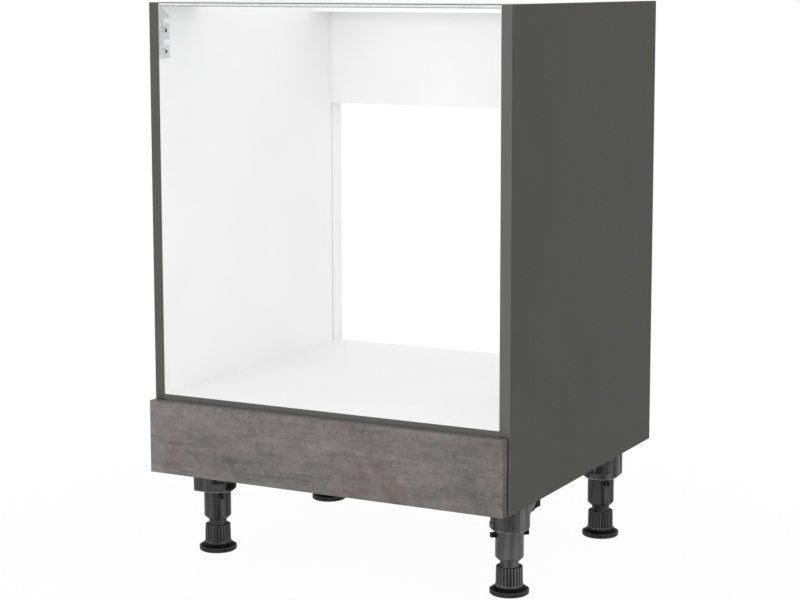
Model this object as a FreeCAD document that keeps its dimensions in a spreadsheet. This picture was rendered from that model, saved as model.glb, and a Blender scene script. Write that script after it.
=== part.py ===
import FreeCAD, Part
import os
import re
from collections import defaultdict

import Sketcher

# Oven base cabinet on four levelling legs: floor at zero, +Z up, front towards -Y, origin under the centre

# Driving dimensions in millimetres
SIZES = {
    # Carcass boards
    "cabinet_width": 600,
    "side_height": 720,
    "carcass_depth": 555,
    "board": 16,
    "edge_band": 1,
    "shelf_top": 122,
    "shelf_setback": 18,
    # Back strip in its grooves, and the board across the top rear
    "back_inset": 34,
    "back_thickness": 3,
    "back_strip_height": 178,
    "groove_depth": 8,
    "groove_clearance": 0.2,
    "groove_end_gap": 0.5,
    "rear_traverse_depth": 66,
    "rear_traverse_drop": 4,
    "worktop_hole_pitch": 440,
    "worktop_hole_radius": 2.5,
    # Folded steel traverse at the top front
    "steel_sheet": 1.5,
    "front_traverse_depth": 100,
    "front_traverse_setback": 1.5,
    "front_lip": 6,
    "bend_radius": 2,
    "flange_height": 84,
    "flange_depth": 25,
    "flange_neck_depth": 6,
    "flange_neck_height": 8,
    "flange_slope_height": 12,
    "flange_screw_drop": 42,
    "flange_screw_pitch": 32,
    "flange_screw_inset": 13,
    "slot_width": 5.5,
    "slot_rise": 18,
    "slot_entry_height": 8,
    "slot_entry_rise": 10,
    # Fascia and the angles that hold it
    "fascia_side_gap": 1.5,
    "fascia_height": 112,
    "fascia_thickness": 16,
    "fascia_gap": 4,
    "fascia_lift": 2,
    "fascia_bevel": 1.2,
    "angle_sheet": 2,
    "angle_height": 64,
    "angle_depth": 45,
    "angle_width": 32,
    "angle_screw_inset": 10,
    # Screws
    "screw_radius": 2,
    "screw_head_radius": 4,
    "screw_head_height": 2.4,
    "screw_recess_radius": 2,
    "screw_recess_depth": 1.6,
    "screw_clearance": 0.1,
    "screw_tip_gap": 0.5,
    "screw_skin": 4,
    "strip_screw_length": 25,
    "strip_screw_inset": 60,
    # Cam locks, their bolts and the dowels beside them
    "cam_radius": 7.4,
    "cam_skin": 3.5,
    "cam_play": 0.2,
    "cam_clearance": 0.15,
    "cam_reach": 34,
    "cam_drive_width": 1.6,
    "cam_drive_depth": 1.2,
    "bolt_thread_radius": 2.5,
    "bolt_shank_radius": 2.9,
    "bolt_head_radius": 3.6,
    "bolt_head_length": 3,
    "bolt_shoulder": 2.5,
    "bolt_bore_radius": 4.2,
    "bolt_skin": 5,
    "bolt_play": 0.3,
    "dowel_radius": 4,
    "dowel_in_board": 20,
    "dowel_skin": 4,
    "dowel_clearance": 0.1,
    "dowel_pitch": 32,
    "joint_inset": 70,
    "traverse_joint_inset": 18,
    # Legs: places, and heights from the floor upwards
    "leg_side_inset": 45,
    "leg_front_inset": 100,
    "leg_rear_inset": 100,
    "glide_height": 12.2,
    "collar_height": 29.8,
    "neck_show": 10,
    "tube_length": 45,
    "bracket_height": 48,
    # Foot glide
    "glide_radius": 29.5,
    "glide_foot_radius": 27.6,
    "glide_foot_bevel": 1.6,
    "glide_rim_height": 7,
    "glide_rim_width": 1.8,
    "glide_rim_crown": 0.5,
    "glide_top_radius": 22.5,
    "glide_play": 0.2,
    # Foot screw
    "collar_radius": 20.4,
    "collar_draft": 0.5,
    "collar_bevel": 1,
    "collar_lip": 2.5,
    "collar_lip_overhang": 0.5,
    "flutes": 24,
    "flute_radius": 2.2,
    "flute_depth": 1.6,
    "pin_radius": 8,
    "pin_length": 7,
    "pin_bead": 0.7,
    "pin_bead_length": 3.2,
    "pin_clearance": 0.3,
    "stem_radius": 14,
    "stem_engaged": 42.5,
    "stem_bevel": 1.5,
    # Thread between the stem and the tube
    "thread_pitch": 6,
    "thread_depth": 1.6,
    "thread_length": 22,
    "thread_width": 3,
    "thread_flank": 0.9,
    "thread_root": 0.4,
    "thread_clearance": 0.6,
    # Leg tube
    "tube_radius": 21.25,
    "tube_end_radius": 17.2,
    "tube_bevel": 4.5,
    # Leg bracket
    "plate_thickness": 6,
    "bracket_inner": 32,
    "bracket_outer": 29,
    "bracket_front": 25.5,
    "bracket_rear": 26,
    "bracket_wall": 2.5,
    "lug_rear": 9,
    "lug_height": 47.5,
    "lug_bevel": 2,
    "lug_corner": 5,
    "lug_groove": 1.2,
    "lug_groove_width": 1.4,
    "lug_groove_pitch": 3.2,
    "gusset_height": 22,
    "gusset_radius": 6,
    "socket_radius": 22.5,
    "ring_radius": 30,
    "ring_height": 10,
    "ring_bevel": 4,
    "drum_inner": 17,
    "shoulder_height": 15,
    "rib_width": 2.5,
    "rib_inset": 1.5,
    "spigot_wall": 2,
    "spigot_length": 12,
    "spigot_clearance": 0.15,
    "hook_drop": 9.8,
    "hook_height": 7,
    "hook_width": 7,
    "hook_proud": 8.5,
    "window_gap": 1.1,
    "ear_width": 19,
    "ear_length": 20,
    "ear_height": 20,
    "inner_ear_length": 18,
    "inner_ear_height": 12,
    "counterbore_radius": 5,
}

# Places and lengths that follow from them
DERIVED = {
    "half_width": "cabinet_width / 2",
    "fascia_width": "cabinet_width - 2 * fascia_side_gap",
    "inner_x": "half_width - board",
    "rear_y": "(carcass_depth + fascia_gap + fascia_thickness) / 2",
    "front_y": "rear_y - carcass_depth",
    "panel_front": "front_y + edge_band",
    "collar_z": "glide_height + glide_play",
    "collar_top": "glide_height + collar_height",
    "tube_z": "collar_top + neck_show",
    "tube_top": "tube_z + tube_length",
    "base_z": "tube_top + bracket_height",
    "base_top": "base_z + board",
    "top_z": "base_z + side_height",
    "shelf_z": "base_z + shelf_top",
    "shelf_bottom": "shelf_z - board",
    "shelf_rear": "rear_y - shelf_setback",
    "strip_front": "rear_y - back_inset",
    "strip_rear": "strip_front + back_thickness",
    "strip_half_width": "inner_x + groove_depth - groove_end_gap",
    "rear_traverse_front": "strip_front - rear_traverse_depth",
    "rear_traverse_top": "top_z - rear_traverse_drop",
    "rear_traverse_bottom": "rear_traverse_top - board",
    "front_traverse_y": "front_y + front_traverse_setback",
    "flange_bottom": "top_z - flange_height",
    "flange_screw_y": "front_traverse_y + flange_screw_inset",
    "fascia_rear": "front_y - fascia_gap",
    "fascia_front": "fascia_rear - fascia_thickness",
    "fascia_bottom": "base_z + fascia_lift",
    "angle_z": "(base_top + shelf_bottom - angle_height) / 2",
    "cam_bore_depth": "board - cam_skin",
    "cam_height": "cam_bore_depth - 2 * cam_play",
    "bolt_thread_length": "board - bolt_skin",
    "dowel_in_side": "board - dowel_skin",
    "leg_x": "half_width - leg_side_inset",
    "leg_front_y": "front_y + leg_front_inset",
    "leg_rear_y": "rear_y - leg_rear_inset",
    "stem_top": "tube_z + stem_engaged",
    "pin_z": "collar_z - pin_length",
    "pin_bead_top": "pin_z + pin_bead_length",
    "pin_bore_radius": "pin_radius + pin_clearance",
    "pin_bore_z": "pin_z - pin_clearance",
    "thread_radius": "stem_radius + thread_depth",
    "thread_z": "stem_top - stem_bevel - thread_length",
    "nut_radius": "stem_radius + thread_clearance",
    "nut_groove_radius": "thread_radius + thread_clearance",
    "nut_groove_width": "thread_width + 2 * thread_clearance",
    "nut_turns_below": "ceil((thread_z - tube_z) / thread_pitch) + 1",
    "nut_groove_z": "thread_z - thread_clearance - thread_pitch * nut_turns_below",
    "spigot_bore": "thread_radius + thread_clearance",
    "spigot_radius": "spigot_bore + spigot_wall",
    "spigot_z": "tube_top - spigot_length",
    "hook_z": "tube_top - hook_drop",
    "ring_top": "tube_top + ring_height",
    "plate_z": "base_z - plate_thickness",
    "ear_x": "bracket_outer - ear_width / 2",
    "ear_y": "bracket_rear + ear_length / 2",
    "inner_ear_x": "bracket_inner + inner_ear_length / 2",
}

DIRECTIONS = {
    "+x": FreeCAD.Rotation(FreeCAD.Vector(0, 1, 0), 90),
    "-x": FreeCAD.Rotation(FreeCAD.Vector(0, 1, 0), -90),
    "+y": FreeCAD.Rotation(FreeCAD.Vector(1, 0, 0), -90),
    "-y": FreeCAD.Rotation(FreeCAD.Vector(1, 0, 0), 90),
    "+z": FreeCAD.Rotation(),
    "-z": FreeCAD.Rotation(FreeCAD.Vector(1, 0, 0), 180),
}
OPPOSITE = {"+x": "-x", "-x": "+x", "+y": "-y", "-y": "+y", "+z": "-z", "-z": "+z"}
SIDES = {"left": -1, "right": 1}
QUARTERS = {"front_right": 0, "rear_right": 90, "rear_left": 180, "front_left": 270}
RIB_ANGLES = (60, 120, 150, 180, 210, 240)
HOOK_ANGLES = (45, 225)

doc = FreeCAD.newDocument("OvenBaseCabinet")
nodes = []
holes = defaultdict(list)
groups = defaultdict(list)


def fill_sheet():
    """Put the dimensions into the document's sheet, one alias to a row."""
    sheet = doc.addObject("Spreadsheet::Sheet", "Sizes")
    cells = {alias: str(size) for alias, size in SIZES.items()}
    cells.update({alias: "=" + formula for alias, formula in DERIVED.items()})
    for row, (alias, content) in enumerate(cells.items(), start=1):
        sheet.set("A%d" % row, alias)
        sheet.set("B%d" % row, content)
        sheet.setAlias("B%d" % row, alias)
    doc.recompute()
    return sheet


sizes = fill_sheet()


def bound(formula):
    """Point every dimension named in a formula at the sheet."""
    def cell(word):
        name = word.group()
        return "Sizes." + name if name in SIZES or name in DERIVED else name
    return re.sub("[a-z_]+", cell, formula)


def number(formula):
    """The present value of a formula."""
    return float(sizes.evalExpression(bound(formula)))


def bind(feature, **formulas):
    """Tie properties of a feature to formulas."""
    for prop, formula in formulas.items():
        feature.setExpression(prop, bound(formula))
    return feature


def move(feature, x, y, z):
    """Tie the place of a feature to three formulas."""
    for axis, formula in zip("xyz", (x, y, z)):
        feature.setExpression("Placement.Base." + axis, bound(formula))
    return feature


def signed(sign, formula):
    """A formula, or its mirror image."""
    return formula if sign > 0 else "-(%s)" % formula


def span(sign, low, high):
    """A range along one axis, or its mirror image."""
    return (low, high) if sign > 0 else ("-(%s)" % high, "-(%s)" % low)


def along(start, way, distance):
    """The point a distance away from start in one direction."""
    place = list(start)
    axis = "xyz".index(way[1])
    place[axis] = "%s %s (%s)" % (place[axis], way[0], distance)
    return tuple(place)


def box(name, x, y, z):
    """A block between two formulas along each axis."""
    feature = doc.addObject("Part::Box", name)
    lengths = ["(%s) - (%s)" % (high, low) for low, high in (x, y, z)]
    bind(feature, Length=lengths[0], Width=lengths[1], Height=lengths[2])
    return move(feature, x[0], y[0], z[0])


def rod(name, radius, length, start, way="+z"):
    """A round bar from start in one direction."""
    feature = bind(doc.addObject("Part::Cylinder", name), Radius=radius, Height=length)
    feature.Placement = FreeCAD.Placement(FreeCAD.Vector(), DIRECTIONS[way])
    return move(feature, *start)


def cone(name, start_radius, end_radius, length, start, way="+z"):
    """A round taper from start in one direction."""
    feature = doc.addObject("Part::Cone", name)
    bind(feature, Radius1=start_radius, Radius2=end_radius, Height=length)
    feature.Placement = FreeCAD.Placement(FreeCAD.Vector(), DIRECTIONS[way])
    return move(feature, *start)


def spoke(name, angle, reach, width, z):
    """A block that points away from the leg axis at an angle in degrees."""
    feature = box(name, reach, ("0", width), z)
    feature.Placement = FreeCAD.Placement(FreeCAD.Vector(), FreeCAD.Rotation(FreeCAD.Vector(0, 0, 1), angle))
    x = "(%s) * cos(%d deg) + (%s) / 2 * sin(%d deg)" % (reach[0], angle, width, angle)
    y = "(%s) * sin(%d deg) - (%s) / 2 * cos(%d deg)" % (reach[0], angle, width, angle)
    return move(feature, x, y, z[0])


def joined(name, pieces):
    """One solid from pieces that meet."""
    feature = doc.addObject("Part::MultiFuse", name)
    feature.Shapes = pieces
    feature.Refine = True
    return feature


def without(name, base, tools):
    """A solid with tools cut away from it."""
    feature = doc.addObject("Part::Cut", name)
    feature.Base = base
    feature.Tool = tools[0] if len(tools) == 1 else joined(name + "_cuts", tools)
    feature.Refine = True
    return feature


def kept(name, base, region):
    """The share of a piece that lies in a region."""
    feature = doc.addObject("Part::Common", name)
    feature.Base = base
    feature.Tool = region
    return feature


def eased(kind, name, base, choices):
    """Chamfer or fillet the edges that lie in all the planes of a choice."""
    doc.recompute()
    feature = doc.addObject("Part::" + kind, name)
    feature.Base = base
    edges = []
    for size, planes in choices:
        amount = number(size)
        levels = {axis: number(level) for axis, level in planes.items()}
        for index, edge in enumerate(base.Shape.Edges, start=1):
            if all(abs(getattr(vertex.Point, axis) - level) < 1e-6
                   for vertex in edge.Vertexes for axis, level in levels.items()):
                edges.append((index, amount, amount))
    feature.Edges = edges
    return feature


def node(feature, label):
    """Name a finished piece."""
    feature.Label = label
    nodes.append(feature)
    return feature


def origin_plane(body, role):
    """One of a body's own base planes."""
    return next(plane for plane in body.Origin.OriginFeatures if plane.Role == role)


def new_sketch(body, name, role):
    """An empty sketch on a body's base plane."""
    sketch = body.newObject("Sketcher::SketchObject", name)
    sketch.AttachmentSupport = [(origin_plane(body, role), "")]
    sketch.MapMode = "FlatFace"
    return sketch


def dimension(sketch, formula, *constraint):
    """A sketch dimension that follows a formula."""
    index = sketch.addConstraint(Sketcher.Constraint(*constraint, number(formula)))
    sketch.setExpression("Constraints[%d]" % index, bound(formula))


def outline(body, name, role, corners):
    """A closed outline of straight edges, each corner placed by two formulas."""
    sketch = new_sketch(body, name, role)
    points = [FreeCAD.Vector(number(across), number(up), 0) for across, up in corners]
    following = points[1:] + points[:1]
    for start, end in zip(points, following):
        sketch.addGeometry(Part.LineSegment(start, end))
    for index in range(len(points)):
        sketch.addConstraint(Sketcher.Constraint("Coincident", index, 2, (index + 1) % len(points), 1))
    for index, (across, up) in enumerate(corners):
        dimension(sketch, across, "DistanceX", -1, 1, index, 1)
        dimension(sketch, up, "DistanceY", -1, 1, index, 1)
    return sketch


def turned(name, corners):
    """A body turned about the vertical from an outline of radii and heights."""
    body = doc.addObject("PartDesign::Body", name)
    sketch = outline(body, name + "_outline", "XZ_Plane", corners)
    feature = body.newObject("PartDesign::Revolution", name + "_turning")
    feature.Profile = sketch
    feature.ReferenceAxis = (sketch, ["V_Axis"])
    feature.Angle = 360
    doc.recompute()
    return body


def threaded(body, kind, corners, height):
    """Run a tooth outline up a helix on a turned body."""
    sketch = outline(body, body.Name + "_tooth", "XZ_Plane", corners)
    feature = body.newObject("PartDesign::" + kind, body.Name + "_thread")
    feature.Profile = sketch
    feature.ReferenceAxis = (sketch, ["V_Axis"])
    feature.Mode = "pitch-height-angle"
    bind(feature, Pitch="thread_pitch", Height=height)
    doc.recompute()


def screw(group, name, seat, way, length, drilled):
    """A pan-head screw seated at a point, with its hole in each board it enters."""
    head_top = along(seat, OPPOSITE[way], "screw_head_height")
    head = rod(name + "_head", "screw_head_radius", "screw_head_height", head_top, way)
    shank = rod(name + "_shank", "screw_radius", length, seat, way)
    recess = cone(name + "_recess", "screw_recess_radius", "screw_recess_radius / 4", "screw_recess_depth",
                  head_top, way)
    groups[group].append(without(name, joined(name + "_blank", [head, shank]), [recess]))
    hole = rod(name + "_hole", "screw_radius + screw_clearance", "%s + screw_tip_gap" % length, seat, way)
    for board in drilled:
        holes[board].append(hole)


def cam_joint(name, board, side, y, face_z, way, middle_z):
    """A cam lock that opens in a board's face, and the bolt that it pulls from the side panel."""
    sign = SIDES[side]
    outwards, inwards = ("+x", "-x") if sign > 0 else ("-x", "+x")
    end = (signed(sign, "inner_x"), y, middle_z)
    centre = along(end, inwards, "cam_reach")
    face = (centre[0], y, face_z)
    middle = "inner_x - cam_reach"
    channel = "bolt_shank_radius + bolt_play"
    pocket = "bolt_head_radius + bolt_play"
    disc = rod(name + "_disc", "cam_radius", "cam_height", along(face, way, "cam_play"), way)
    slot = box(name + "_slot", span(sign, middle, "inner_x"),
               ("%s - (%s)" % (y, channel), "%s + %s" % (y, channel)),
               ("%s - (%s)" % (middle_z, channel), "%s + %s" % (middle_z, channel)))
    catch = box(name + "_catch",
                span(sign, middle + " - bolt_head_length / 2 - bolt_play",
                     middle + " + bolt_head_length / 2 + bolt_play"),
                ("%s - (%s)" % (y, pocket), "%s + %s" % (y, pocket)),
                ("%s - (%s)" % (middle_z, pocket), "%s + %s" % (middle_z, pocket)))
    drive_end = along(face, way, "cam_play + cam_drive_depth")[2]
    drive = box(name + "_drive", span(sign, middle + " - cam_radius / 2", middle + " + cam_radius / 2"),
                ("%s - cam_drive_width / 2" % y, "%s + cam_drive_width / 2" % y),
                (face_z, drive_end) if way == "+z" else (drive_end, face_z))
    groups["cam_locks"].append(without(name + "_cam", disc, [slot, catch, drive]))
    thread = rod(name + "_thread", "bolt_thread_radius", "bolt_thread_length", end, outwards)
    shoulder = rod(name + "_shoulder", "bolt_head_radius", "bolt_shoulder", end, inwards)
    shank = rod(name + "_shank", "bolt_shank_radius", "cam_reach", end, inwards)
    head = rod(name + "_head", "bolt_head_radius", "bolt_head_length",
               along(centre, outwards, "bolt_head_length / 2"), inwards)
    groups["cam_bolts"].append(joined(name + "_bolt", [thread, shoulder, shank, head]))
    holes[board].append(rod(name + "_bore", "cam_radius + cam_clearance", "cam_bore_depth", face, way))
    holes[board].append(rod(name + "_bolt_bore", "bolt_bore_radius", "cam_reach", end, inwards))
    bolt_hole = rod(name + "_bolt_hole", "bolt_thread_radius + dowel_clearance",
                    "bolt_thread_length + screw_tip_gap", end, outwards)
    holes[side + "_side_panel"].append(bolt_hole)


def dowel_joint(name, board, side, y, middle_z):
    """A wooden dowel half in a board's end and half in the side panel."""
    sign = SIDES[side]
    outwards, inwards = ("+x", "-x") if sign > 0 else ("-x", "+x")
    end = (signed(sign, "inner_x"), y, middle_z)
    start = along(end, outwards, "dowel_in_side")
    groups["wooden_dowels"].append(
        rod(name, "dowel_radius", "dowel_in_side + dowel_in_board", start, inwards))
    radius = "dowel_radius + dowel_clearance"
    holes[board].append(rod(name + "_bore", radius, "dowel_in_board + screw_tip_gap", end, inwards))
    hole = rod(name + "_hole", radius, "dowel_in_side + screw_tip_gap", end, outwards)
    holes[side + "_side_panel"].append(hole)


def board_joints():
    """Cam locks and dowels that join shelf, base and rear traverse to both sides."""
    layout = {
        "oven_shelf": ("shelf_bottom", "+z", "shelf_z - board / 2"),
        "base_panel": ("base_top", "-z", "base_z + board / 2"),
    }
    for side in SIDES:
        for board, (face_z, way, middle_z) in layout.items():
            for end, edge, sign in (("front", "panel_front", "+"), ("rear", "shelf_rear", "-")):
                name = "_".join((board, end, side))
                cam_y = "%s %s joint_inset" % (edge, sign)
                cam_joint(name, board, side, cam_y, face_z, way, middle_z)
                dowel_joint(name + "_dowel", board, side, "%s %s dowel_pitch" % (cam_y, sign), middle_z)
        middle_z = "rear_traverse_top - board / 2"
        cam_y = "strip_front - traverse_joint_inset"
        cam_joint("traverse_" + side, "rear_traverse", side, cam_y, "rear_traverse_top", "-z", middle_z)
        dowel_y = "rear_traverse_front + traverse_joint_inset"
        dowel_joint("traverse_dowel_" + side, "rear_traverse", side, dowel_y, middle_z)


def front_traverse():
    """Folded sheet across the top front, with a slotted flange at each end and worktop holes."""
    across = ("-inner_x", "inner_x")
    front = "front_traverse_y"
    rear = "front_traverse_y + front_traverse_depth"
    lip_z = ("top_z - front_lip", "top_z")
    pieces = [
        box("traverse_plate", across, (front, rear), ("top_z - steel_sheet", "top_z")),
        box("traverse_front_lip", across, (front, front + " + steel_sheet"), lip_z),
        box("traverse_rear_lip", across, (rear + " - steel_sheet", rear), lip_z),
    ]
    cuts = []
    for side, sign in SIDES.items():
        flange = doc.addObject("PartDesign::Body", side + "_flange")
        neck_z = "flange_height - flange_neck_height"
        sketch = outline(flange, side + "_flange_outline", "YZ_Plane", [
            ("0", "0"),
            ("flange_depth", "0"),
            ("flange_depth", neck_z + " - flange_slope_height"),
            ("flange_neck_depth", neck_z),
            ("flange_neck_depth", "flange_height"),
            ("0", "flange_height"),
        ])
        pad = flange.newObject("PartDesign::Pad", side + "_flange_pad")
        pad.Profile = sketch
        bind(pad, Length="steel_sheet")
        flange_x = span(sign, "inner_x - steel_sheet", "inner_x")[0]
        pieces.append(move(flange, flange_x, front, "flange_bottom"))
        for row in range(2):
            name = "%s_slot_%d" % (side, row)
            low = "top_z - flange_screw_drop - %d * flange_screw_pitch" % row
            through = span(sign, "inner_x - 2 * steel_sheet", "inner_x + steel_sheet")
            slot_y = ("flange_screw_y - slot_width / 2", "flange_screw_y + slot_width / 2")
            entry_y = ("flange_screw_y", front + " + flange_depth + slot_width")
            entry_z = low + " + slot_entry_rise"
            cuts.append(box(name, through, slot_y, (low, low + " + slot_rise")))
            cuts.append(box(name + "_entry", through, entry_y, (entry_z, entry_z + " + slot_entry_height")))
            cuts.append(rod(name + "_end", "slot_width / 2", "3 * steel_sheet",
                            (through[0], "flange_screw_y", low), "+x"))
            seat = (signed(sign, "inner_x - steel_sheet"), "flange_screw_y", low)
            screw("traverse_screws", "%s_traverse_screw_%d" % (side, row), seat, "+x" if sign > 0 else "-x",
                  "steel_sheet + board - screw_skin", [side + "_side_panel"])
        cuts.append(rod(side + "_worktop_front_hole", "worktop_hole_radius", "2 * steel_sheet",
                        ("%d * worktop_hole_pitch / 2" % sign, front + " + front_traverse_depth / 2",
                         "top_z - 1.5 * steel_sheet")))
    folded = joined("front_traverse_folded", pieces)
    rounded = eased("Fillet", "front_traverse_bend", folded, [("bend_radius", {"y": front, "z": "top_z"})])
    node(without("front_traverse", rounded, cuts), "front_traverse")


def fascia():
    """Stone-look front board with bevelled front edges, held off the carcass by two angles."""
    blank = box("fascia_blank", ("-fascia_width / 2", "fascia_width / 2"), ("fascia_front", "fascia_rear"),
                ("fascia_bottom", "fascia_bottom + fascia_height"))
    bevelled = eased("Chamfer", "fascia_bevelled", blank, [("fascia_bevel", {"y": "fascia_front"})])
    for side, sign in SIDES.items():
        label = side + "_fascia_bracket"
        height = ("angle_z", "angle_z + angle_height")
        leaf = box(label + "_leaf", span(sign, "inner_x - angle_sheet", "inner_x"),
                   ("fascia_rear", "fascia_rear + angle_depth"), height)
        foot = box(label + "_foot", span(sign, "inner_x - angle_width", "inner_x"),
                   ("fascia_rear", "fascia_rear + angle_sheet"), height)
        for end, z in (("low", "angle_z + angle_screw_inset"),
                       ("high", "angle_z + angle_height - angle_screw_inset")):
            side_x = signed(sign, "inner_x - angle_sheet")
            side_y = "fascia_rear + angle_depth - angle_screw_inset"
            screw("fascia_screws", "%s_%s_side" % (label, end), (side_x, side_y, z),
                  "+x" if sign > 0 else "-x", "angle_sheet + board - screw_skin",
                  [side + "_side_panel", label])
            front_x = signed(sign, "inner_x - angle_width + angle_screw_inset")
            screw("fascia_screws", "%s_%s_front" % (label, end), (front_x, "fascia_rear + angle_sheet", z),
                  "-y", "angle_sheet + fascia_thickness - screw_skin", ["fascia", label])
        node(without(label, joined(label + "_angle", [leaf, foot]), holes[label]), label)
    node(without("fascia", bevelled, holes["fascia"]), "fascia")


def carcass():
    """Boards, their front edging and the strip across the back."""
    for side, sign in SIDES.items():
        label = side + "_side_panel"
        across = span(sign, "inner_x", "half_width")
        height = ("base_z", "top_z")
        blank = box(label + "_blank", across, ("panel_front", "rear_y"), height)
        groove = box(label + "_groove", span(sign, "inner_x", "inner_x + groove_depth"),
                     ("strip_front - groove_clearance", "strip_rear + groove_clearance"), height)
        node(without(label, blank, [groove] + holes[label]), label)
        label = side + "_edge_band"
        node(box(label, across, ("front_y", "panel_front"), height), label)
    between = ("-inner_x", "inner_x")
    base = box("base_blank", between, ("panel_front", "shelf_rear"), ("base_z", "base_top"))
    node(without("base_panel", base, holes["base_panel"]), "base_panel")
    shelf = box("shelf_blank", between, ("panel_front", "shelf_rear"), ("shelf_bottom", "shelf_z"))
    node(without("oven_shelf", shelf, holes["oven_shelf"]), "oven_shelf")
    band = box("shelf_edge_band", between, ("front_y", "panel_front"), ("shelf_bottom", "shelf_z"))
    node(band, "shelf_edge_band")


def rear_pieces():
    """Board across the top rear, and the strip that is screwed to it from behind."""
    middle_z = "rear_traverse_top - board / 2"
    for side, sign in SIDES.items():
        outer = signed(sign, "inner_x - strip_screw_inset")
        inner = signed(sign, "(inner_x - strip_screw_inset) / 3")
        for place, x in (("outer", outer), ("inner", inner)):
            screw("back_strip_screws", "_".join(("strip_screw", side, place)),
                  (x, "strip_rear", middle_z), "-y", "strip_screw_length", ["rear_traverse", "back_strip"])
        holes["rear_traverse"].append(
            rod(side + "_worktop_rear_hole", "worktop_hole_radius", "2 * board",
                ("%d * worktop_hole_pitch / 2" % sign, "rear_traverse_front + rear_traverse_depth / 2",
                 "rear_traverse_bottom - board / 2")))
    board = box("rear_traverse_blank", ("-inner_x", "inner_x"), ("rear_traverse_front", "strip_front"),
                ("rear_traverse_bottom", "rear_traverse_top"))
    node(without("rear_traverse", board, holes["rear_traverse"]), "rear_traverse")
    strip = box("back_strip_blank", ("-strip_half_width", "strip_half_width"), ("strip_front", "strip_rear"),
                ("top_z - back_strip_height", "top_z"))
    node(without("back_strip", strip, holes["back_strip"]), "back_strip")


def quarter_turned(turn, x, y):
    """A place beside the leg axis after whole quarter turns."""
    return {
        0: (x, y),
        90: ("-(%s)" % y, x),
        180: ("-(%s)" % x, "-(%s)" % y),
        270: (y, "-(%s)" % x),
    }[turn]


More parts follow.
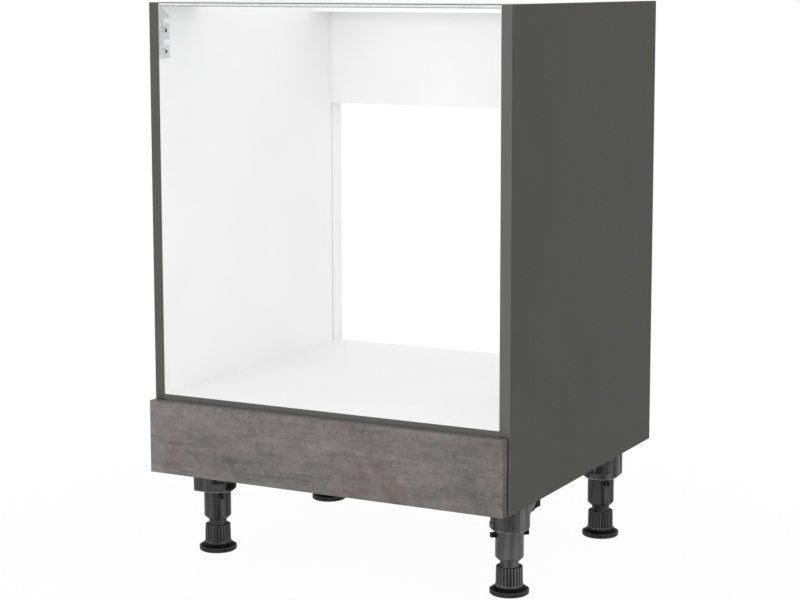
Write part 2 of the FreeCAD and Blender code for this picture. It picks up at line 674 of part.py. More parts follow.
def leg_bracket(corner, turn, x, y):
    """Moulded bracket under the base: plate, socket, ring with ribs, drum, lug, and ears for its screws."""
    label = corner + "_leg_bracket"

    def block(part, across, deep, z):
        return box("_".join((label, part)), across, deep, z)

    axis = ("0", "0")
    above_bevel = axis + ("tube_top + ring_bevel",)
    disc = rod(label + "_disc", "ring_radius", "ring_height - ring_bevel", above_bevel)
    flare = cone(label + "_flare", "ring_radius - ring_bevel", "ring_radius", "ring_bevel",
                 axis + ("tube_top",))
    trim = block("trim", ("bracket_outer", "ring_radius + bracket_wall"), ("-ring_radius", "ring_radius"),
                 ("tube_top", "ring_top"))
    drum = rod(label + "_drum_round", "ring_radius", "bracket_height - ring_bevel", above_bevel)
    drum_region = block("drum_region", ("-drum_inner", "bracket_outer"), ("-ring_radius", "lug_rear"),
                        ("tube_top", "base_z"))
    shoulder = rod(label + "_shoulder_round", "ring_radius", "shoulder_height - ring_bevel", above_bevel)
    shoulder_region = block("shoulder_region", ("0", "bracket_outer"), ("0", "ring_radius"),
                            ("tube_top", "base_z"))
    lug_z = "base_z - lug_height"
    lug = block("lug", ("0", "bracket_outer"), ("-bracket_front", "lug_rear"), (lug_z, "base_z"))
    gusset_low = "base_z - gusset_height - gusset_radius"
    gusset_x = ("bracket_outer - bracket_wall", "bracket_outer")
    hollow = rod(label + "_hollow", "gusset_radius", "3 * bracket_wall",
                 ("bracket_outer - 2 * bracket_wall", "lug_rear + gusset_radius", gusset_low), "+x")
    corner_block = block("corner", gusset_x, ("lug_rear", "lug_rear + gusset_radius"),
                         (gusset_low, "base_z - gusset_height"))
    pieces = [
        without(label + "_ring", joined(label + "_ring_blank", [disc, flare]), [trim]),
        kept(label + "_drum", drum, drum_region),
        kept(label + "_shoulder", shoulder, shoulder_region),
        without(label + "_fillet", corner_block, [hollow]),
        eased("Chamfer", label + "_lug_bevelled", lug, [
            ("lug_bevel", {"y": "-bracket_front", "z": lug_z}),
            ("lug_bevel", {"x": "bracket_outer", "z": lug_z}),
            ("lug_corner", {"y": "lug_rear", "z": lug_z}),
        ]),
        block("plate", ("-bracket_inner", "bracket_outer"), ("-bracket_front", "bracket_rear"),
              ("plate_z", "base_z")),
        block("gusset", gusset_x, ("lug_rear", "bracket_rear"), ("base_z - gusset_height", "base_z")),
        block("ear", ("bracket_outer - ear_width", "bracket_outer"),
              ("bracket_rear", "bracket_rear + ear_length"), ("base_z - ear_height", "base_z")),
        block("inner_ear", ("-bracket_inner - inner_ear_length", "-bracket_inner"),
              ("-ear_width / 2", "ear_width / 2"), ("base_z - inner_ear_height", "base_z")),
        rod(label + "_socket", "socket_radius", "bracket_height", axis + ("tube_top",)),
        rod(label + "_spigot", "spigot_radius", "spigot_length", axis + ("spigot_z",)),
    ]
    for angle in RIB_ANGLES:
        pieces.append(spoke("%s_rib_%d" % (label, angle), angle,
                            ("socket_radius - rib_width", "ring_radius - rib_inset"), "rib_width",
                            ("ring_top", "base_z")))
    for angle in HOOK_ANGLES:
        pieces.append(spoke("%s_hook_%d" % (label, angle), angle,
                            ("spigot_bore + spigot_wall / 2", "tube_radius + hook_proud"), "hook_width",
                            ("hook_z", "hook_z + hook_height")))
    cuts = [rod(label + "_bore", "spigot_bore", "plate_z - spigot_z", axis + ("spigot_z",))]
    for row in range(3):
        groove_x = "bracket_outer - %d * lug_groove_pitch" % (row + 1)
        cuts.append(block("groove_%d" % row, (groove_x, groove_x + " + lug_groove_width"),
                          ("-bracket_front", "lug_groove - bracket_front"), (lug_z, "plate_z")))
    for place, ear_x, ear_y in (("ear", "ear_x", "ear_y"), ("inner_ear", "-inner_ear_x", "0")):
        name = "_".join((corner, place, "screw"))
        across, deep = quarter_turned(turn, ear_x, ear_y)
        screw("leg_screws", name, ("%s + %s" % (x, across), "%s + %s" % (y, deep), "plate_z"), "+z",
              "plate_thickness + board - screw_skin", ["base_panel"])
        cuts.append(rod(name + "_way", "screw_radius + screw_clearance", "2 * plate_thickness",
                        (ear_x, ear_y, "plate_z - plate_thickness / 2")))
        cuts.append(rod(name + "_counterbore", "counterbore_radius", "ear_height",
                        (ear_x, ear_y, "plate_z"), "-z"))
    bracket = without(label, joined(label + "_moulding", pieces), cuts)
    bracket.Placement = FreeCAD.Placement(FreeCAD.Vector(), FreeCAD.Rotation(FreeCAD.Vector(0, 0, 1), turn))
    node(move(bracket, x, y, "0"), label)


def leg_tube(corner, turn, x, y):
    """Tube that clips onto the bracket's spigot, with a coarse thread inside."""
    label = corner + "_leg_tube"
    seat_radius = "spigot_radius + spigot_clearance"
    seat_z = "spigot_z - spigot_clearance"
    body = turned(label + "_body", [
        ("nut_radius", "tube_z"),
        ("tube_end_radius", "tube_z"),
        ("tube_radius", "tube_z + tube_bevel"),
        ("tube_radius", "tube_top"),
        (seat_radius, "tube_top"),
        (seat_radius, seat_z),
        ("nut_radius", seat_z),
    ])
    groove_top = "nut_groove_z + nut_groove_width"
    threaded(body, "SubtractiveHelix", [
        ("nut_radius - thread_root", "nut_groove_z"),
        ("nut_groove_radius", "nut_groove_z + thread_flank"),
        ("nut_groove_radius", groove_top + " - thread_flank"),
        ("nut_radius - thread_root", groove_top),
    ], "tube_top - nut_groove_z - nut_groove_width")
    reach = ("spigot_radius - spigot_wall / 2", "tube_radius + spigot_wall")
    height = ("hook_z - window_gap", "hook_z + hook_height + window_gap")
    windows = [
        spoke("%s_window_%d" % (label, angle), angle + turn, reach, "hook_width + 2 * window_gap", height)
        for angle in HOOK_ANGLES
    ]
    node(move(without(label, body, windows), x, y, "0"), label)


def foot_screw(corner, x, y):
    """Threaded stem with a fluted collar to turn it by, and the pin that the glide clips onto."""
    label = corner + "_foot_screw"
    body = turned(label, [
        ("0", "pin_z"),
        ("pin_radius", "pin_z"),
        ("pin_radius + pin_bead", "pin_z + pin_bead"),
        ("pin_radius + pin_bead", "pin_bead_top - pin_bead"),
        ("pin_radius", "pin_bead_top"),
        ("pin_radius", "collar_z"),
        ("collar_radius + collar_lip_overhang", "collar_z"),
        ("collar_radius + collar_lip_overhang", "collar_z + collar_lip"),
        ("collar_radius", "collar_z + collar_lip"),
        ("collar_radius - collar_draft", "collar_top - collar_bevel"),
        ("collar_radius - collar_draft - collar_bevel", "collar_top"),
        ("stem_radius", "collar_top"),
        ("stem_radius", "stem_top - stem_bevel"),
        ("stem_radius - stem_bevel", "stem_top"),
        ("0", "stem_top"),
    ])
    sketch = new_sketch(body, label + "_flute_outline", "XY_Plane")
    bind(sketch, **{"AttachmentOffset.Base.z": "collar_z + collar_lip"})
    flute_place = "collar_radius - flute_depth + flute_radius"
    sketch.addGeometry(Part.Circle(FreeCAD.Vector(number(flute_place), 0, 0), FreeCAD.Vector(0, 0, 1),
                                   number("flute_radius")))
    sketch.addConstraint(Sketcher.Constraint("PointOnObject", 0, 3, -1))
    dimension(sketch, flute_place, "DistanceX", -1, 1, 0, 3)
    dimension(sketch, "flute_radius", "Radius", 0)
    flute = body.newObject("PartDesign::Pocket", label + "_flute")
    flute.Profile = sketch
    flute.Reversed = True
    bind(flute, Length="collar_height")
    fluting = body.newObject("PartDesign::PolarPattern", label + "_fluting")
    fluting.Originals = [flute]
    fluting.Axis = (sketch, ["N_Axis"])
    fluting.Angle = 360
    bind(fluting, Occurrences="flutes")
    body.Tip = fluting
    doc.recompute()
    threaded(body, "AdditiveHelix", [
        ("stem_radius - thread_root", "thread_z"),
        ("thread_radius", "thread_z + thread_flank"),
        ("thread_radius", "thread_z + thread_width - thread_flank"),
        ("stem_radius - thread_root", "thread_z + thread_width"),
    ], "thread_length - thread_width")
    node(move(body, x, y, "0"), label)


def foot_glide(corner, x, y):
    """Flared foot that stays still on the floor while the foot screw turns in it."""
    label = corner + "_foot_glide"
    body = turned(label, [
        ("0", "0"),
        ("glide_foot_radius", "0"),
        ("glide_radius", "glide_foot_bevel"),
        ("glide_radius", "glide_rim_height"),
        ("glide_radius - glide_rim_width / 2", "glide_rim_height + glide_rim_crown"),
        ("glide_radius - glide_rim_width", "glide_rim_height"),
        ("glide_top_radius", "glide_height"),
        ("pin_bore_radius", "glide_height"),
        ("pin_bore_radius", "pin_bead_top + pin_clearance"),
        ("pin_radius + pin_bead + pin_clearance", "pin_bead_top + pin_clearance"),
        ("pin_radius + pin_bead + pin_clearance", "pin_bore_z"),
        ("0", "pin_bore_z"),
    ])
    node(move(body, x, y, "0"), label)


def legs():
    """Four like levelling legs, each a quarter turn from the next, so that every lug points outwards."""
    for corner, turn in QUARTERS.items():
        end, side = corner.split("_")
        x = signed(SIDES[side], "leg_x")
        y = "leg_%s_y" % end
        leg_bracket(corner, turn, x, y)
        leg_tube(corner, turn, x, y)
        foot_screw(corner, x, y)
        foot_glide(corner, x, y)


def fastener_groups():
    """Like fasteners, each kind in one node."""
    for label, solids in groups.items():
        feature = doc.addObject("Part::Compound", label)
        feature.Links = solids
        node(feature, label)


def write_parts():
    """Check the whole document, then write one file for each piece."""
    doc.recompute()
    failed = [feature.Name for feature in doc.Objects if {"Invalid", "Error"} & set(feature.State)]
    failed += [piece.Label for piece in nodes if piece.Shape.isNull() or not piece.Shape.isValid()]
    if failed:
        raise RuntimeError("failed features: " + ", ".join(failed))
    os.makedirs("parts", exist_ok=True)
    for piece in nodes:
        piece.Shape.exportStep("parts/%s.step" % piece.Label)
        print(piece.Label, len(piece.Shape.Solids), "solids, %.0f mm3" % piece.Shape.Volume)


board_joints()
front_traverse()
fascia()
legs()
carcass()
rear_pieces()
fastener_groups()
write_parts()
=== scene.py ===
import math

import bmesh
import bpy
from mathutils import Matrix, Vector


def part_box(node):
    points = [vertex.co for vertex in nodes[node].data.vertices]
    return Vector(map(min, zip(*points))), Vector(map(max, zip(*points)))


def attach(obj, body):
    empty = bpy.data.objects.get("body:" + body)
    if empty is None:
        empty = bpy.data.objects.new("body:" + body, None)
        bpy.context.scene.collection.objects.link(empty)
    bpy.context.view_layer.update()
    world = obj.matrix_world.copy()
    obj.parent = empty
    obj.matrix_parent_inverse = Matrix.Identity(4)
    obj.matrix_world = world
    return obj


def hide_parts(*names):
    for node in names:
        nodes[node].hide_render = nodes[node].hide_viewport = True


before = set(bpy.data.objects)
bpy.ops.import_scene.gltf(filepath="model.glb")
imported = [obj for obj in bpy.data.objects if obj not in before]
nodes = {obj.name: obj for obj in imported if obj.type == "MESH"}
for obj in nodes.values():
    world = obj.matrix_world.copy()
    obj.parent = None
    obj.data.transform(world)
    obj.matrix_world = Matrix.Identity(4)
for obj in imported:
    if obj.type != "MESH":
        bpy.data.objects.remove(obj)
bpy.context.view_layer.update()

scene = bpy.context.scene

# Quarter turn, in degrees, at which each leg's bracket stands
LEG_TURNS = {"front_right": 0, "rear_right": 90, "rear_left": 180, "front_left": 270}

# On a leg, in metres: the ear's start and the floor of the lug's grooves, both along the bracket's
# own Y from the leg's axis, the radius of the collar's flutes, and the neck from tube to collar
EAR_START = 0.0262
GROOVE_FLOOR = -0.0243
FLUTE_RADIUS = 0.0196
NECK_LENGTH = 0.010

# Height of the steel traverse's front lip, in metres
LIP_HEIGHT = 0.006

# Metres up to which the painted shadow line along the lip's lower edge and the painted highlight on
# a leg's ring are full, then gone
SHADOW_LINE_REACH = (0.0008, 0.0020)
RIM_HIGHLIGHT_REACH = (0.0012, 0.0024)

# Face tests: metres between a flat's middle and a plane, and the share of its normal along an axis
ON_PLANE = 0.0002
FACING = 0.9
TILTED = 0.15
UPWARDS = 0.3

# Photograph: 800 by 600, its optical axis a little off the middle
IMAGE_WIDTH = 800
FOCAL_PIXELS = 2002
AXIS_PIXEL = (420, 250)
MIDDLE_PIXEL = (400, 300)
SENSOR_WIDTH = 36.0
CAMERA_PLACE = (1.451, -2.7755, 0.897)
CAMERA_YAW = 27.27
CAMERA_PITCH = 7.66

# Pan-head screw, in metres
HEAD_RADIUS = 0.004
HEAD_HEIGHT = 0.0024
SHANK_RADIUS = 0.002
THREAD_PITCH = 0.0018
THREAD_DEPTH = 0.0006
RECESS_DEPTH = 0.0017
WING_REACH = 0.0030
WING_HALF = 0.0012

# Its cross recess: shares of a wing's reach and depth from the middle outwards, the deepest part's
# share of the reach, and how much shallower the recess is at the end of a wing
RECESS_OUTLINE = ((0.85, 1.0), (0.96, 0.8), (1.0, 0.0))
RECESS_MIDDLE = 0.30
RECESS_RISE = 0.6

# Its head: shares of the radius and height from the recess outwards
HEAD_OUTLINE = ((0.79, 1.0), (0.90, 0.93), (0.97, 0.78), (1.0, 0.52), (1.0, 0.08), (0.97, 0.0))

# Its mesh: columns round the axis, rings to a turn of the thread, turns in the tip and the share of
# the radius left there, and the angle in degrees from which an edge is sharp
SCREW_SIDES = 40
RINGS_PER_TURN = 5
TIP_TURNS = 3
TIP_SHARE = 0.1
SHARP_ANGLE = 38

# Points of a plain screw this many shank radii from its axis belong to its head
HEAD_FROM = 1.5

# Merges points, and keeps a division safe
TINY = 1e-6

# Floor paper: whiteness, how clear it is near the object, the metres over which it clears fully,
# and the metres that it reaches from the middle and lies below the feet
PAPER_WHITE = 0.86
PAPER_CLEAR = 0.95
CLEARS_FROM = 0.35
CLEARS_TO = 0.95
FLOOR_REACH = 14.0
FLOOR_DROP = 0.0005


def linear(red, green, blue):
    """A colour written as 0 to 255 sRGB screen values, made linear for the shader."""
    values = [channel / 255 for channel in (red, green, blue)]
    curve = [v / 12.92 if v <= 0.04045 else ((v + 0.055) / 1.055) ** 2.4 for v in values]
    return (*curve, 1.0)


class Look:
    """A node material in the making, textured in the part's own metres."""

    def __init__(self, name, metallic=0.0, specular=0.5, rounding=0.0):
        self.material = bpy.data.materials.new(name)
        self.material.use_nodes = True
        self.tree = self.material.node_tree
        self.shader = next(n for n in self.tree.nodes if n.type == "BSDF_PRINCIPLED")
        self.shader.inputs["Metallic"].default_value = metallic
        self.shader.inputs["Specular IOR Level"].default_value = specular
        self.place = self.add("TexCoord").outputs["Object"]
        self.normal = None
        if rounding:
            self.normal = self.add("Bevel", {"Radius": rounding}, samples=6).outputs["Normal"]
            self.tree.links.new(self.normal, self.shader.inputs["Normal"])

    def add(self, kind, inputs=None, **settings):
        """A node with its settings, and its inputs linked or set."""
        made = self.tree.nodes.new("ShaderNode" + kind)
        for setting, value in settings.items():
            setattr(made, setting, value)
        for key, value in (inputs or {}).items():
            if isinstance(value, bpy.types.NodeSocket):
                self.tree.links.new(value, made.inputs[key])
            else:
                made.inputs[key].default_value = value
        return made

    def stretched(self, x=1.0, y=1.0, z=1.0, turn=(0.0, 0.0, 0.0)):
        """The part's coordinates, drawn out or squeezed along each axis."""
        inputs = {"Vector": self.place, "Scale": (x, y, z), "Rotation": turn}
        return self.add("Mapping", inputs).outputs[0]

    def axis(self, index):
        """One of the part's coordinates, in metres."""
        return self.add("SeparateXYZ", {0: self.place}).outputs[index]

    def worn(self, reach):
        """1 on sharp edges, falling to 0 at that distance from them."""
        eased = self.add("Bevel", {"Radius": reach}, samples=8).outputs["Normal"]
        true = self.add("NewGeometry").outputs["True Normal"]
        match = self.add("VectorMath", {0: eased, 1: true}, operation="DOT_PRODUCT")
        return self.span(match.outputs["Value"], low=0.98, high=0.85)

    def noise(self, scale, detail=4.0, roughness=0.55, place=None, distortion=0.0):
        """Cloudy noise between 0 and 1, with scale features to a metre."""
        inputs = {"Vector": place or self.place, "Scale": scale, "Detail": detail,
                  "Roughness": roughness, "Distortion": distortion}
        return self.add("TexNoise", inputs).outputs[0]

    def veins(self, scale, width, place=None, distortion=0.0):
        """Thin wandering lines, 1 where cloudy noise passes its middle."""
        level = self.noise(scale, detail=2.0, roughness=0.5, place=place, distortion=distortion)
        away = self.add("Math", {0: level, 1: 0.5}, operation="SUBTRACT").outputs[0]
        away = self.add("Math", {0: away}, operation="ABSOLUTE").outputs[0]
        return self.span(away, low=0.0, high=width, to_low=1.0, to_high=0.0)

    def cells(self, scale, place=None):
        """A random level for each cell of a mosaic."""
        inputs = {"Vector": place or self.place, "Scale": scale}
        colour = self.add("TexVoronoi", inputs).outputs["Color"]
        return self.add("SeparateColor", {0: colour}).outputs[0]

    def span(self, value, low=0.3, high=0.7, to_low=0.0, to_high=1.0):
        """A value taken from one range, by default most noise's, to another, and held inside it."""
        inputs = {"Value": value, "From Min": low, "From Max": high,
                  "To Min": to_low, "To Max": to_high}
        return self.add("MapRange", inputs).outputs[0]

    def product(self, first, second):
        """Two values multiplied."""
        return self.add("Math", {0: first, 1: second}, operation="MULTIPLY").outputs[0]

    def total(self, *shares):
        """Values added up, each in its share."""
        result = None
        for value, share in shares:
            part = self.product(value, share)
            result = part if result is None else self.add("Math", {0: result, 1: part}).outputs[0]
        return result

    def mixed(self, share, first, second):
        """Two colours mixed, by the node's colour sockets."""
        return self.add("Mix", {0: share, 6: first, 7: second}, data_type="RGBA").outputs[2]

    def bumped(self, height, distance, strength):
        """Relief of that height in metres on the surface, over what is there already."""
        inputs = {"Height": height, "Distance": distance, "Strength": strength}
        if self.normal:
            inputs["Normal"] = self.normal
        self.normal = self.add("Bump", inputs).outputs[0]
        self.tree.links.new(self.normal, self.shader.inputs["Normal"])

    def finish(self, colour, roughness):
        """Link the colour and the roughness to the shader."""
        self.tree.links.new(colour, self.shader.inputs["Base Color"])
        self.tree.links.new(roughness, self.shader.inputs["Roughness"])
        return self.material


def melamine(name, dark, light, specular, smooth, rough, shadow_corner=None):
    """Pearl-textured melamine: orange peel, a drift in tone, faint scuffs and, given the fascia's
    corner, painted shadow behind the fascia.
    """
    look = Look(name, specular=specular, rounding=0.0005)
    pearl = look.noise(scale=1500, detail=3.0)
    drift = look.noise(scale=5, detail=2.0)
    scuff = look.noise(scale=60, detail=5.0, roughness=0.6, place=look.stretched(z=0.08))
    scuff = look.span(scuff, low=0.58, high=0.8)
    tone = look.total((drift, 0.7), (pearl, 0.3))
    colour = look.mixed(look.span(tone), dark, light)
    # Painted shadow: near black behind the fascia, within its corner's width and below its top
    if shadow_corner:
        blur = 0.0003
        across = look.add("Math", {0: look.axis(0)}, operation="ABSOLUTE").outputs[0]
        behind = look.span(across, shadow_corner.x - blur, shadow_corner.x + blur, to_low=0.85, to_high=0.0)
        below = look.span(look.axis(2), shadow_corner.z - blur, shadow_corner.z + blur, to_low=1.0, to_high=0.0)
        colour = look.mixed(look.product(behind, below), colour, linear(14, 14, 13))
    gloss = look.span(look.noise(scale=220, detail=3.0), to_low=smooth, to_high=rough)
    look.bumped(pearl, distance=0.00006, strength=0.5)
    return look.finish(colour, look.total((gloss, 1.0), (scuff, 0.05)))


def chipboard():
    """Raw chipboard edge: pressed flakes of several browns with small pores."""
    look = Look("raw_chipboard", specular=0.2)
    flakes = look.cells(scale=420, place=look.stretched(z=1.8))
    grain = look.noise(scale=900)
    colour = look.mixed(flakes, linear(168, 142, 110), linear(214, 192, 160))
    colour = look.mixed(look.span(grain, low=0.62, high=0.75), colour, linear(112, 86, 62))
    look.bumped(look.total((flakes, 1.0), (grain, 1.0)), distance=0.0003, strength=0.6)
    return look.finish(colour, look.span(grain, to_low=0.75, to_high=0.95))


def hardboard():
    """Brown fibreboard back with a fine fibrous surface."""
    look = Look("raw_hardboard", specular=0.25)
    fibre = look.noise(scale=700, detail=6.0, roughness=0.65, place=look.stretched(x=0.35))
    drift = look.noise(scale=14, detail=3.0)
    tone = look.total((fibre, 0.6), (drift, 0.4))
    share = look.span(tone, low=0.35, high=0.65)
    colour = look.mixed(share, linear(108, 78, 52), linear(150, 114, 80))
    look.bumped(fibre, distance=0.0001, strength=0.6)
    return look.finish(colour, look.span(fibre, to_low=0.6, to_high=0.78))


def stone_decor(name, dark, light):
    """Brushed concrete decor: sweeps, clouds, combed hatching, rusty patches, scratches, grit, and
    painted shade darkening it towards its right end.
    """
    look = Look(name, specular=0.3, rounding=0.0006)
    sweep = look.noise(scale=16, detail=6.0, roughness=0.6, place=look.stretched(x=0.16),
                       distortion=0.4)
    cloud = look.noise(scale=24, detail=5.0, roughness=0.6, place=look.stretched(x=0.6, z=1.1),
                       distortion=0.6)
    mottle = look.noise(scale=90, roughness=0.6, place=look.stretched(x=0.75), distortion=0.8)
    streak = look.noise(scale=150, detail=5.0, roughness=0.62, place=look.stretched(x=0.06),
                        distortion=0.3)
    comb = look.noise(scale=330, roughness=0.6, place=look.stretched(z=0.14), distortion=0.3)
    grit = look.noise(scale=900, detail=3.0, roughness=0.6)
    tone = look.total((sweep, 0.22), (cloud, 0.24), (mottle, 0.22), (streak, 0.20), (comb, 0.10),
                      (grit, 0.08))
    darkest, palest = 0.41, 0.65
    colour = look.mixed(look.span(tone, darkest, palest), dark, light)
    rust = look.noise(scale=9, roughness=0.6, place=look.stretched(x=0.6, z=1.2), distortion=0.8)
    rust = look.span(rust, low=0.52, high=0.62)
    rust = look.product(rust, look.span(look.noise(scale=70, roughness=0.6), low=0.35, high=0.6))
    colour = look.mixed(look.product(rust, 0.55), colour, linear(106, 86, 85))
    worn = look.span(look.noise(scale=13, detail=3.0), low=0.50, high=0.62)
    marks = look.product(worn, look.veins(scale=48, width=0.016, distortion=1.4))
    colour = look.mixed(look.product(marks, 0.55), colour, linear(62, 58, 56))
    rubbed = look.noise(scale=17, detail=3.0, place=look.stretched(x=0.8))
    rubbed = look.span(rubbed, low=0.50, high=0.62)
    slanted = look.stretched(x=0.7, turn=(0, 0.6, 0))
    scratch = look.product(rubbed, look.veins(scale=70, width=0.012, place=slanted, distortion=1.8))
    colour = look.mixed(look.product(scratch, 0.35), colour, linear(160, 154, 149))
    # Painted shade: darker towards the right end, along plus X, as if less lit there
    drift = look.span(look.axis(0), low=-0.3, high=0.3, to_low=0.0, to_high=0.18)
    colour = look.mixed(drift, colour, linear(20, 19, 18))
    look.bumped(streak, distance=0.00012, strength=0.5)
    look.bumped(grit, distance=0.00008, strength=0.5)
    return look.finish(colour, look.span(tone, darkest, palest, to_low=0.62, to_high=0.48))


def galvanised(name, dark, light, smooth, rough, shadow_edge=None):
    """Galvanised sheet: spangles, rolling lines, a grey bloom, a painted shadow line along a lower
    edge.
    """
    look = Look(name, metallic=1.0, rounding=0.0004)
    spangle = look.cells(scale=330)
    lines = look.noise(scale=1300, detail=3.0, roughness=0.6, place=look.stretched(x=0.08))
    bloom = look.noise(scale=38)
    tone = look.total((spangle, 0.22), (lines, 0.30), (bloom, 0.48))
    colour = look.mixed(look.span(tone), dark, light)
    # Painted shadow: a dark line along the lower edge, fading out upwards
    if shadow_edge is not None:
        full, end = SHADOW_LINE_REACH
        shadow_line = look.span(look.axis(2), shadow_edge + full, shadow_edge + end, to_low=0.50, to_high=0.0)
        colour = look.mixed(shadow_line, colour, linear(70, 70, 71))
    look.bumped(lines, distance=0.00003, strength=0.5)
    return look.finish(colour, look.span(tone, to_low=smooth, to_high=rough))


def zinc(name, dark, light):
    """Zinc plate: bright steel with fine drawing lines and a mottled film."""
    look = Look(name, metallic=1.0, rounding=0.0002)
    film = look.noise(scale=420, detail=3.0)
    lines = look.noise(scale=1600, detail=3.0, roughness=0.6, place=look.stretched(y=0.1))
    tone = look.total((film, 0.5), (lines, 0.5))
    colour = look.mixed(look.span(tone), dark, light)
    look.bumped(lines, distance=0.00003, strength=0.6)
    return look.finish(colour, look.span(tone, to_low=0.22, to_high=0.38))


def plastic(name, dark, light, specular, smooth, rough, highlight_from=None):
    """Moulded black plastic: eroded grain, flow streaks, rubbed patches, pale edges that are partly
    wear and partly a painted highlight, and a painted highlight along a ring's lower edge.
    """
    look = Look(name, specular=specular, rounding=0.0007)
    grain = look.noise(scale=1700, detail=2.0)
    flow = look.noise(scale=95, detail=2.0, place=look.stretched(z=0.05), distortion=0.2)
    rub = look.span(look.noise(scale=120, detail=5.0, roughness=0.6), low=0.55, high=0.75)
    tone = look.total((flow, 0.75), (grain, 0.25))
    colour = look.mixed(look.span(tone, low=0.35, high=0.65), dark, light)
    # Pale edges: partly wear, partly a painted highlight
    colour = look.mixed(look.product(look.worn(reach=0.0012), 0.7), colour, linear(140, 140, 141))
    # Painted highlight: a pale line along the ring's lower edge
    if highlight_from is not None:
        full, end = RIM_HIGHLIGHT_REACH
        highlight = look.span(look.axis(2), highlight_from + full, highlight_from + end, to_low=0.6, to_high=0.0)
        colour = look.mixed(highlight, colour, linear(150, 150, 151))
    look.bumped(grain, distance=0.00007, strength=0.6)
    gloss = look.span(flow, to_low=smooth, to_high=rough)
    return look.finish(colour, look.total((gloss, 1.0), (rub, 0.08)))


def beech():
    """Beech dowel: straight grain along X with short dark flecks."""
    look = Look("beech", specular=0.3)
    grain = look.noise(scale=160, detail=5.0, roughness=0.6, place=look.stretched(x=0.06),
                       distortion=0.3)
    fleck = look.noise(scale=900, detail=2.0, roughness=0.5, place=look.stretched(x=0.12))
    fleck = look.span(fleck, low=0.6, high=0.7)
    colour = look.mixed(look.span(grain), linear(190, 148, 104), linear(222, 186, 142))
    colour = look.mixed(look.product(fleck, 0.6), colour, linear(140, 98, 64))
    look.bumped(grain, distance=0.0001, strength=0.5)
    return look.finish(colour, look.span(grain, to_low=0.55, to_high=0.7))


BAND_FINISH = {"specular": 0.3, "smooth": 0.40, "rough": 0.50}
SHEET_FINISH = {"smooth": 0.34, "rough": 0.48}
LEG_FINISH = {"specular": 0.12, "smooth": 0.30, "rough": 0.45}
LEG_TONES = (linear(21, 21, 22), linear(89, 89, 90))
# Painted light: paler tones for the front right leg, a lit copy of the leg plastic
LIT_TONES = (linear(40, 40, 41), linear(108, 108, 109))
FASCIA_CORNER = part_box("fascia")[1]
LIP_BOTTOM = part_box("front_traverse")[1].z - LIP_HEIGHT
RING_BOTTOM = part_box("front_left_leg_tube")[1].z

WHITE = melamine("white_melamine", linear(244, 244, 244), linear(249, 249, 249),
                 specular=0.4, smooth=0.34, rough=0.44)
DARK = melamine("anthracite_melamine", linear(66, 67, 62), linear(70, 71, 66),
                specular=0.08, smooth=0.46, rough=0.56)
# Edge bands, with painted shadow where the fascia stands in front of them
BAND = melamine("anthracite_band", linear(74, 74, 72), linear(80, 80, 78),
                shadow_corner=FASCIA_CORNER, **BAND_FINISH)
# Painted light: a paler copy of the edge band for the right edge, as if more light fell on it
LIT_BAND = melamine("anthracite_band_lit", linear(88, 88, 86), linear(94, 94, 92),
                     shadow_corner=FASCIA_CORNER, **BAND_FINISH)
# Painted light: a paler copy of the edge band for the shelf, lighter to offset the shade the fascia
# casts on it
LIT_SHELF_BAND = melamine("anthracite_shelf_band_lit", linear(94, 94, 92), linear(100, 100, 98),
                      **BAND_FINISH)
CHIP = chipboard()
FIBRE = hardboard()
STONE = stone_decor("stone_decor", linear(85, 81, 78), linear(137, 131, 128))
FASCIA_TOP = melamine("fascia_top_edge", linear(92, 90, 87), linear(98, 96, 93),
                      specular=0.22, smooth=0.46, rough=0.56)
STONE_EDGE = stone_decor("stone_edge", linear(58, 55, 52), linear(90, 86, 82))
SHEET = galvanised("galvanised_sheet", linear(202, 203, 204), linear(229, 230, 231),
                   **SHEET_FINISH)
# Painted reflection: the folds painted dark, as if mirroring dark surroundings; they are also
# rougher
FOLD_REFLECTION = galvanised("galvanised_fold_reflection", linear(66, 67, 69), linear(92, 93, 95),
                  smooth=0.50, rough=0.62)
# The lip: a slightly darker copy of the sheet as painted shade, with a painted shadow line along
# its lower edge
LIP = galvanised("galvanised_lip", linear(196, 197, 198), linear(224, 225, 226),
                 shadow_edge=LIP_BOTTOM, **SHEET_FINISH)
ZINC = zinc("zinc_plate", linear(196, 198, 202), linear(228, 229, 231))
# Painted shade: the screws' cross recesses painted near black
RECESS_SHADE = zinc("zinc_recess_shade", linear(8, 8, 8), linear(18, 18, 18))
LEG = plastic("leg_plastic", *LEG_TONES, **LEG_FINISH)
# Leg plastic with a painted highlight along the ring's lower edge
RING = plastic("leg_plastic_ring", *LEG_TONES, highlight_from=RING_BOTTOM, **LEG_FINISH)
# Painted light: the front right leg's plastic, a paler copy as if lit more
LIT_LEG = plastic("leg_plastic_lit", *LIT_TONES, **LEG_FINISH)
LIT_RING = plastic("leg_plastic_lit_ring", *LIT_TONES, highlight_from=RING_BOTTOM, **LEG_FINISH)
# A darker, duller copy of the leg plastic: painted shade in the collar's flutes, and the glides'
# sides in the same tone
SHADE = plastic("leg_plastic_shade", linear(30, 30, 30), linear(54, 54, 54),
                specular=0.10, smooth=0.40, rough=0.55)
# Near black, dull plastic: hooks and the ear, and painted shade on lug groove floors, the collar's
# top and the glides' upper faces
BLACK = plastic("leg_plastic_black_and_shade", linear(6, 6, 6), linear(14, 14, 14),
                specular=0.06, smooth=0.50, rough=0.65)
BEECH = beech()


def paint(name, *materials):
    """Give a CAD node these materials."""
    slots = nodes[name].data.materials
    slots.clear()
    for material in materials:
        slots.append(material)


def face_paint(name, choose, *materials):
    """Give each flat of a CAD node one of these materials."""
    paint(name, *materials)
    for flat in nodes[name].data.polygons:
        flat.material_index = choose(flat)


def near(value, target):
    """True where a coordinate lies on a face."""
    return abs(value - target) < ON_PLANE


